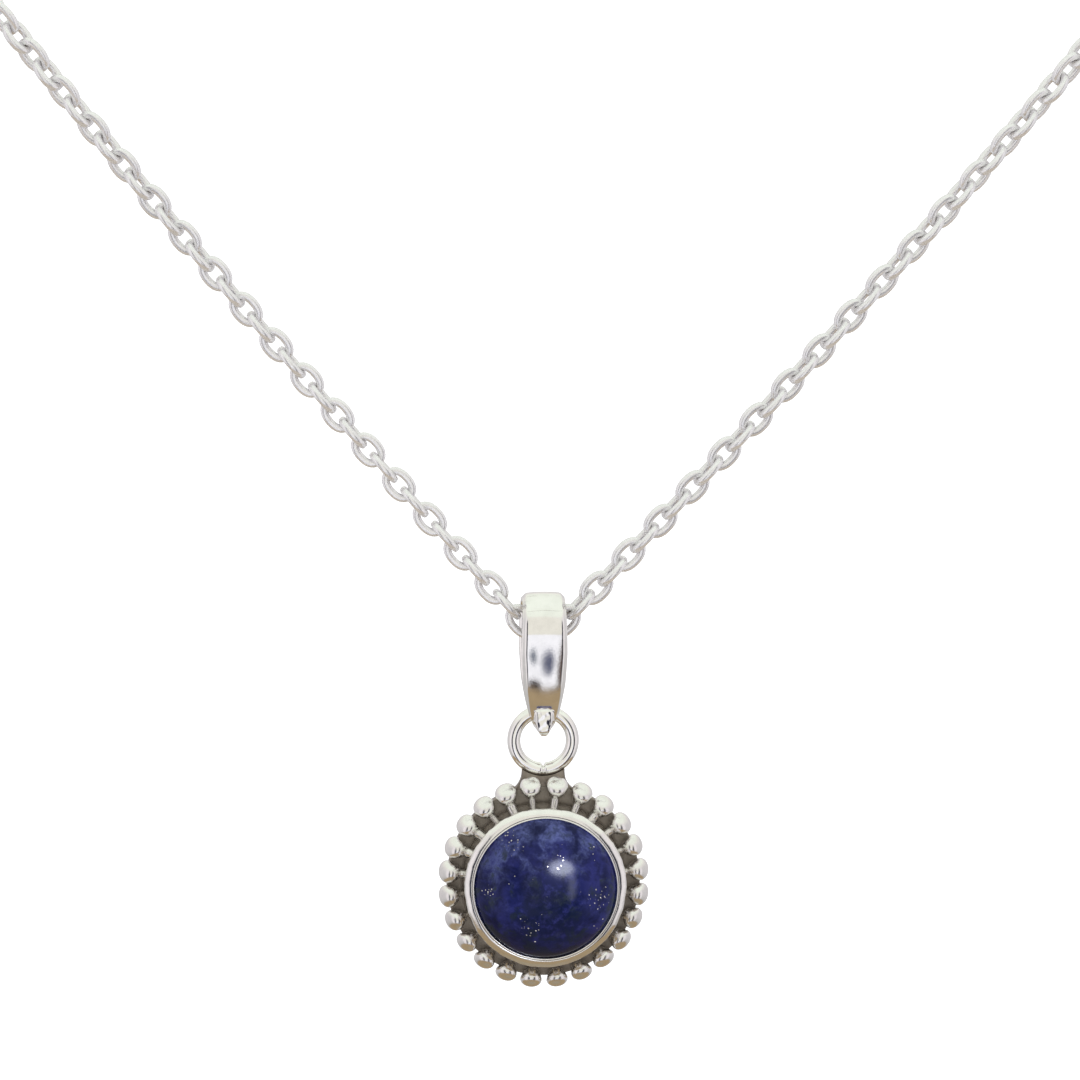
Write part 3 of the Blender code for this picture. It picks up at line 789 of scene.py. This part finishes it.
def build_ring(material):
    """Soldered ring, pinched where its ends meet over the tab."""
    low, high = box_mm("pendant_ring")
    centre = (low + high) / 2.0
    wire = (high.y - low.y) / 2.0 + RING_WIRE_EXTRA
    radius = (high.x - low.x) / 2.0 + RING_RADIUS_EXTRA - wire
    stations, sides = 144, 32
    points = []
    for i in range(stations):
        turn = 2.0 * math.pi * i / stations
        off = (turn + math.pi / 2.0 + math.pi) % (2.0 * math.pi) - math.pi
        pinch = 1.0 - SOLDER_PINCH * math.exp(-((off / SOLDER_PINCH_WIDTH) ** 2))
        swell = 1.0 + SOLDER_SWELL * math.exp(-((off / SOLDER_SWELL_WIDTH) ** 2))
        outward = Vector((math.cos(turn), 0.0, math.sin(turn)))
        middle = centre + outward * (radius + wire * (1.0 - pinch) * 0.6)
        for k in range(sides):
            spin = 2.0 * math.pi * k / sides
            flat, lift = wire * pinch * math.cos(spin), wire * swell * pinch * math.sin(spin)
            points.append(middle + outward * flat + FACING * lift)
    ring = new_mesh("soldered_ring", points, grid_faces(stations, sides), material)
    stand_in(facing_out(ring), "setting", "pendant_ring")


def teardrop(axis_z, top_radius, low_z, low_radius, counts):
    """Two circles joined by straight flanks: y, z and the angle of the outward normal."""
    top_steps, flank_steps, low_steps = counts
    lean = math.asin((top_radius - low_radius) / (axis_z - low_z))
    turns = list(np.linspace(-lean, math.pi + lean, top_steps))
    points = [(top_radius * math.cos(a), axis_z + top_radius * math.sin(a), a) for a in turns]
    low_turns = list(np.linspace(math.pi + lean, 2.0 * math.pi - lean, low_steps))
    lows = [(low_radius * math.cos(a), low_z + low_radius * math.sin(a), a) for a in low_turns]
    shares = [i / flank_steps for i in range(1, flank_steps)]
    down = [between(points[-1], lows[0], s) for s in shares]
    up = [between(lows[-1], (*points[0][:2], lows[-1][2]), s) for s in shares]
    return points + down + lows + up


def between(first, second, share):
    """Point a share of the way from the first to the second."""
    return tuple(a + (b - a) * share for a, b in zip(first, second))


# Height above the stone's centre and half width of the bail there
BAIL_WIDTHS = (
    (9.6, 0.22),
    (9.9, 0.45),
    (10.3, 0.68),
    (10.8, 0.88),
    (11.4, 1.05),
    (12.1, 1.19),
    (13.2, 1.37),
    (15.2, 1.49),
    (17.0, 1.45),
    (19.0, 1.38),
)
# Side view of the bail
TIP_RADIUS, SEAT_RADIUS, SEAT_HEIGHT = 0.85, 0.55, 1.0
BAND, FLANK_SWELL = 0.52, 0.27
# Its outer face: bevels start at a share of the half width, beside a fine groove
BEVEL_STATIONS = (0.75, 0.77, 0.79, 0.81, 0.84, 0.88, 0.92, 0.96, 0.985, 1.0)
CROWN, BEVEL_DEPTH, GROOVE_DEPTH, GROOVE_AT = 0.11, 0.22, 0.006, 0.79
CREASE_Z, CREASE_WIDTH, CREASE_DARK = 18.05, 0.035, 0.62
# Its foot: a ledge slopes in under the leaf, and a dented nose stands upright from it to the toe
NOSE_TOP_Z, NOSE_Y = 11.82, -1.68
LEDGE_SLOPE, LEDGE_HEIGHT = 0.29, 0.37
TOE_TOP_Z, TOE_HEIGHT = 10.10, 0.54
DENT = 0.006


def bail_half_width(z):
    """Width rounded over between the given heights, and rounded off at the very foot."""
    heights, widths = zip(*BAIL_WIDTHS)
    near = z + np.linspace(-0.3, 0.3, 15)
    mean = float(np.interp(near, heights, widths).mean())
    foot = min(max((z - heights[0] + 0.02) / 0.30, 0.0), 1.0)
    return mean * math.sqrt(max(1.0 - 0.75 * (1.0 - foot) ** 2, 0.0))


def bail_section(half):
    """Outer face from edge to edge: bevels, a fine groove beside each and a crowned middle."""
    middle = np.linspace(-0.72, 0.72, 25)
    shares = [-u for u in reversed(BEVEL_STATIONS)] + list(middle) + list(BEVEL_STATIONS)
    section = []
    for u in shares:
        fall = CROWN * abs(u) ** 2.2
        groove = GROOVE_DEPTH * math.exp(-(((abs(u) - GROOVE_AT) / 0.02) ** 2))
        edge = BEVEL_DEPTH * float(smooth_step(abs(u), 0.76, 1.03)) ** 1.2
        section.append((u * half, fall + groove + edge * min(half / 1.2, 1.0)))
    return section


def bail_front(x, y, z, centre_y):
    """Front leaf near its foot: a hollow ledge, then a nose that stands upright down to the toe."""
    half = min(0.72, 0.95 * bail_half_width(z))
    inside = float(smooth_step(1.0 - abs(x) / half, 0.0, 0.36))
    oval = math.sqrt(max(1.0 - (x / 0.70) ** 2, 0.0))
    top = NOSE_TOP_Z - 0.10 * (1.0 - oval)
    if z > top or inside == 0.0:
        return y
    below = top - z
    ledge = y + LEDGE_SLOPE * min(below, LEDGE_HEIGHT) * inside
    crown = 0.10 * (x / 0.6) ** 2
    dents = DENT * (math.sin(15.0 * x + 5.0 * z) + math.sin(11.0 * z - 9.0 * x + 1.0))
    upright = NOSE_Y + crown + dents
    toe = math.sqrt(max(1.0 - max((TOE_TOP_Z - z) / TOE_HEIGHT, 0.0) ** 2, 0.0))
    upright = centre_y + (upright - centre_y) * toe
    nose = float(smooth_step(below, 0.34, 0.42))
    return ledge + (min(upright, y) - ledge) * nose * inside


def bail_crease(x, z, half):
    """Tarnish of the fine line that runs across the front near the top."""
    if abs(x) >= 0.8 * half:
        return 0.0
    off = (z - CREASE_Z - 0.03 * math.cos(2.0 * x)) / CREASE_WIDTH
    return CREASE_DARK * math.exp(-(off**2))


def build_bail(material):
    """Loop lofted round the side view of the bail; its flanks swell a little."""
    low, high = box_mm("bail")
    centre_y, outer_radius = (low.y + high.y) / 2.0, (high.y - low.y) / 2.0
    axis_z, foot_z = high.z - outer_radius, low.z + TIP_RADIUS
    seat_z = low.z + SEAT_HEIGHT + SEAT_RADIUS
    counts = (120, 96, 48)
    outer = teardrop(axis_z, outer_radius, foot_z, TIP_RADIUS, counts)
    inner = teardrop(axis_z, outer_radius - BAND, seat_z, SEAT_RADIUS, counts)
    points, dark, size = [], [], 0
    for (y, z, turn), (inner_y, inner_z, _) in zip(outer, inner):
        half = bail_half_width(z)
        share = min(max((z - foot_z) / (axis_z - foot_z), 0.0), 1.0)
        bulge = FLANK_SWELL * 4.0 * share * (1.0 - share)
        out_y, out_z = math.cos(turn), math.sin(turn)
        front = out_y < 0.0
        ring = []
        for x, fall in bail_section(half):
            lift = bulge - fall
            at_y, at_z = y + out_y * lift + centre_y, z + out_z * lift
            if front:
                at_y = bail_front(x, at_y, at_z, centre_y)
            ring.append((x, at_y, at_z))
            dark.append(bail_crease(x, at_z, half) if front else 0.0)
        wall = half * 0.97
        inside_y, inside_z = centre_y + inner_y + out_y * bulge, inner_z + out_z * bulge
        ring += [(x, inside_y, inside_z) for x in np.linspace(wall, -wall, 9)]
        dark += [0.0] * 9
        size = len(ring)
        points += ring
    bail = new_mesh("bail_loop", points, grid_faces(len(outer), size), material, {"dark": dark})
    stand_in(facing_out(bail), "bail", "bail")


# Clasp


def cast_copy(node, name, body, material, voxel=0.055):
    """Softened copy of a CAD node, with the rounded edges of a casting."""
    mesh = frame["nodes"][node].data.copy()
    obj = bpy.data.objects.new(name, mesh)
    bpy.context.scene.collection.objects.link(obj)
    mesh.materials.clear()
    mesh.materials.append(material)
    remesh = obj.modifiers.new("fine_grid", "REMESH")
    remesh.mode, remesh.voxel_size, remesh.use_smooth_shade = "VOXEL", voxel * MM, True
    soften = obj.modifiers.new("soften", "SMOOTH")
    soften.factor, soften.iterations = 0.5, 5
    stand_in(obj, body, node)


def round_ring(name, node, body, material):
    """Smooth ring on the CAD ring's own circle."""
    vertices = np.array([v.co for v in frame["nodes"][node].data.vertices]) / MM
    centre = vertices.mean(axis=0)
    axes = np.linalg.eigh(np.cov((vertices - centre).T))[1]
    normal, across = Vector(axes[:, 0]), Vector(axes[:, 2])
    spread = np.abs((vertices - centre) @ axes[:, 0]).max()
    reach = np.linalg.norm(vertices - centre, axis=1).max()
    placed = np.array(frame_of(Vector(centre), across, normal))
    stations, sides = 72, 16
    turns = np.linspace(0.0, 2.0 * math.pi, stations, endpoint=False)
    spins = np.linspace(0.0, 2.0 * math.pi, sides, endpoint=False)
    radius = (reach - spread) + spread * np.cos(spins)[None, :]
    lift = np.broadcast_to(spread * np.sin(spins)[None, :], (stations, sides))
    across_ring = (radius * np.cos(turns)[:, None], radius * np.sin(turns)[:, None])
    local = np.stack([*across_ring, lift], axis=-1).reshape(-1, 3)
    points = local @ placed[:3, :3].T + placed[:3, 3]
    ring = new_mesh(name, points, grid_faces(stations, sides), material)
    stand_in(facing_out(ring), body, node)


def build_clasp(cast, wire, steel):
    """Lobster clasp from its CAD nodes, and the plain rings at the chain's two ends."""
    cast_copy("clasp_body", "clasp_casing", "clasp", cast)
    cast_copy("clasp_lever", "clasp_gate_lever", "clasp_lever", cast, 0.045)
    cast_copy("clasp_pin", "clasp_pivot_pin", "clasp", steel, 0.03)
    cast_copy("clasp_spring", "clasp_leaf_spring", "clasp", steel, 0.02)
    round_ring("clasp_jump_ring", "clasp_ring", "clasp_ring", wire)
    round_ring("end_jump_ring", "end_ring", "end_ring", wire)


# Stage


# Colour of the room at the sine of the elevation it is seen at
ROOM_BANDS = (
    (-0.60, (0.52, 0.51, 0.50)),
    (-0.30, (0.64, 0.62, 0.63)),
    (0.15, (0.68, 0.66, 0.67)),
    (0.45, (0.84, 0.82, 0.78)),
    (0.62, (0.90, 0.94, 0.85)),
    (1.0, (0.94, 0.99, 0.90)),
)
# The table top below the horizon
GROUND_BANDS = (
    (-1.0, (0.36, 0.31, 0.23)),
    (-0.87, (0.37, 0.285, 0.175)),
    (-0.63, (0.40, 0.30, 0.18)),
    (-0.60, (0.20, 0.165, 0.14)),
)
HORIZON = -0.592
# What stands in the room: azimuth and elevation it is seen at, half width and half height, all in
# degrees, then the softness of its edge and its colour
ROOM_THINGS = (
    (0.0, 8.0, 25.0, 27.0, 0.35, (0.86, 0.84, 0.77)),
    (0.0, -25.0, 25.0, 14.0, 0.35, (1.0, 1.0, 1.06)),
    (6.5, -26.5, 4.0, 5.2, 0.7, (0.11, 0.12, 0.19)),
    (-5.0, -24.0, 3.0, 3.2, 0.7, (0.18, 0.20, 0.25)),
    (-5.5, -35.5, 6.0, 2.0, 0.3, (0.05, 0.04, 0.04)),
    (-64.0, -5.0, 18.0, 34.0, 0.35, (0.90, 0.86, 0.88)),
    (64.0, -5.0, 18.0, 34.0, 0.35, (0.86, 0.82, 0.84)),
    (33.0, -9.0, 10.0, 30.0, 0.3, (0.03, 0.03, 0.045)),
    (21.0, -27.0, 5.5, 10.0, 0.5, (0.12, 0.09, 0.08)),
    (-32.0, -9.0, 9.0, 30.0, 0.3, (0.04, 0.04, 0.06)),
)
EVEN_LIGHT, WHITE = (0.95, 0.96, 1.0, 1.0), (1.0, 1.0, 1.0, 1.0)
# Azimuth and elevation in degrees, width and height in metres at one metre, and power
WINDOW_PANES = ((19.0, 16.0, 0.46, 0.29, 14.0), (29.0, -3.0, 0.14, 0.55, 1.8))
WINDOW_COLOUR = (0.82, 0.87, 1.0)
# Where the camera stands, in degrees and metres from its target
CAMERA_AZIMUTH, CAMERA_ELEVATION, CAMERA_DISTANCE = -3.5, 9.0, 0.3484
CAMERA_TARGET = Vector((-0.0002, -0.0004, 0.0224))
# Half size of the floor and its drop below the lowest piece, in metres
FLOOR_HALF_SIZE, FLOOR_DROP = 3.0, 0.045


def toward(azimuth, elevation):
    """Unit direction; azimuth 0 is straight in front of the pendant and grows to its right."""
    a, e = math.radians(azimuth), math.radians(elevation)
    return Vector((math.sin(a) * math.cos(e), -math.cos(a) * math.cos(e), math.sin(e)))


def seen_patch(nodes, direction, place, half_size, softness):
    """1 inside an oval of the room, 0 outside it."""
    middle = toward(*place)
    across = toward(place[0] + 90.0, 0.0)
    upward = across.cross(middle)
    total = None
    for axis, half in ((across, half_size[0]), (upward, half_size[1])):
        offset = nodes.vector("DOT_PRODUCT", direction, tuple(axis)).outputs["Value"]
        scaled = nodes.math("DIVIDE", offset, math.sin(math.radians(half)))
        square = nodes.math("MULTIPLY", scaled, scaled)
        total = square if total is None else nodes.math("ADD", total, square)
    front = nodes.vector("DOT_PRODUCT", direction, tuple(middle)).outputs["Value"]
    inside = nodes.ramp(total, 1.0 + softness, 1.0 - softness)
    return nodes.math("MULTIPLY", inside, nodes.math("GREATER_THAN", front, 0.0))


def build_world():
    """White to the camera, an even light for matt things and a room for shiny ones."""
    world = bpy.data.worlds.new("studio")
    bpy.context.scene.world = world
    nodes = Nodes("studio", world)
    nodes.tree.nodes.clear()
    direction = nodes.add("ShaderNodeTexCoord").outputs["Generated"]
    height = nodes.add("ShaderNodeSeparateXYZ", {"Vector": direction}).outputs["Z"]
    level = nodes.add("ShaderNodeMath", {0: height, 1: 0.5, 2: 0.5}, operation="MULTIPLY_ADD")
    room = bands(nodes, level.outputs["Value"], ROOM_BANDS)
    ground = bands(nodes, level.outputs["Value"], GROUND_BANDS)
    for azimuth, elevation, wide, tall, softness, colour in ROOM_THINGS:
        patch = seen_patch(nodes, direction, (azimuth, elevation), (wide, tall), softness)
        room = nodes.mix(patch, room, colour)
    room = nodes.mix(nodes.ramp(height, HORIZON, HORIZON - 0.012), room, ground)
    shiny = nodes.add("ShaderNodeBackground", {"Color": room})
    matt = nodes.add("ShaderNodeBackground", {"Color": EVEN_LIGHT})
    plain = nodes.add("ShaderNodeBackground", {"Color": WHITE})
    ray = nodes.add("ShaderNodeLightPath")
    surface = blend(nodes, ray.outputs["Is Diffuse Ray"], shiny.outputs[0], matt.outputs[0])
    surface = blend(nodes, ray.outputs["Is Camera Ray"], surface, plain.outputs[0])
    output = nodes.add("ShaderNodeOutputWorld")
    nodes.put(output.inputs["Surface"], surface)


def blend(nodes, factor, first, second):
    """The first shader where the factor is 0, the second where it is 1."""
    made = nodes.add("ShaderNodeMixShader", {0: factor, 1: first, 2: second})
    return made.outputs[0]


def bands(nodes, level, stops):
    """Colours along the height of the room, given by the sine of the elevation."""
    made = nodes.add("ShaderNodeValToRGB", {"Fac": level})
    ramp = made.color_ramp
    while len(ramp.elements) < len(stops):
        ramp.elements.new(0.5)
    for element, (sine, colour) in zip(ramp.elements, stops):
        element.position, element.color = (sine + 1.0) / 2.0, (*colour, 1.0)
    return made.outputs["Color"]


def light_window():
    """The window as the stone alone sees it: one highlight on the dome and a fainter one below."""
    lit = bpy.data.collections.new("lit_by_window")
    lit.objects.link(bpy.data.objects["lapis_cabochon"])
    for number, (azimuth, elevation, wide, tall, energy) in enumerate(WINDOW_PANES):
        data = bpy.data.lights.new(f"window_{number}", "AREA")
        data.shape, data.size, data.size_y = "ELLIPSE", wide, tall
        data.color = WINDOW_COLOUR
        data.energy = energy
        light = bpy.data.objects.new(data.name, data)
        bpy.context.scene.collection.objects.link(light)
        away = toward(azimuth, elevation)
        light.location = away
        light.rotation_euler = away.to_track_quat("Z", "Y").to_euler()
        light.light_linking.receiver_collection = lit


def build_floor():
    """Pale paper a little below the lowest piece, hidden from shiny things."""
    low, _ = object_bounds()
    half, z = FLOOR_HALF_SIZE / MM, (low.z - FLOOR_DROP) / MM
    corners = [(-half, -half, z), (half, -half, z), (half, half, z), (-half, half, z)]
    floor = new_mesh("floor", corners, [(0, 1, 2, 3)], floor_material())
    floor.visible_glossy = False


def floor_material():
    """White paper with a faint glow, so that it stays pale under the pendant."""
    nodes = Nodes("floor_paper")
    grain = nodes.noise(nodes.place(), 0.05, 3.0)
    tone = nodes.mix(grain, (0.93, 0.93, 0.93), (0.95, 0.95, 0.95))
    nodes.put(nodes.shader.inputs["Emission Color"], WHITE)
    nodes.put(nodes.shader.inputs["Emission Strength"], 0.45)
    return nodes.finish(tone, 0.9, 0.0)


def build_camera():
    """Long lens a little above the pendant, at the photo's angle."""
    back = toward(CAMERA_AZIMUTH, CAMERA_ELEVATION)
    data = bpy.data.cameras.new("camera")
    data.lens, data.sensor_width = 180.0, 36.0
    data.clip_start, data.clip_end = 0.01, 20.0
    camera = bpy.data.objects.new("camera", data)
    bpy.context.scene.collection.objects.link(camera)
    camera.location = CAMERA_TARGET + back * CAMERA_DISTANCE
    camera.rotation_euler = (-back).to_track_quat("-Z", "Y").to_euler()
    bpy.context.scene.camera = camera


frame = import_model()

polished = silver("polished_silver", (0.94, 0.93, 0.91), 0.03, 0.10)
setting = silver("setting_silver", (0.90, 0.885, 0.87), 0.14, 0.28)
collar = silver("collar_silver", (0.92, 0.905, 0.885), 0.09, 0.20)
cast = silver("cast_silver", (0.90, 0.895, 0.88), 0.12, 0.24)
wire = chain_silver()
oxidised = oxidised_silver()
steel = spring_steel()

build_stone(lapis())
build_bezel(collar)
build_border(setting)
build_plate(oxidised)
build_ring(polished)
build_bail(polished)
build_chain(wire)
build_clasp(cast, wire, steel)

build_world()
light_window()
build_camera()
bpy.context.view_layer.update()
build_floor()
bpy.context.scene.view_settings.view_transform = "Standard"
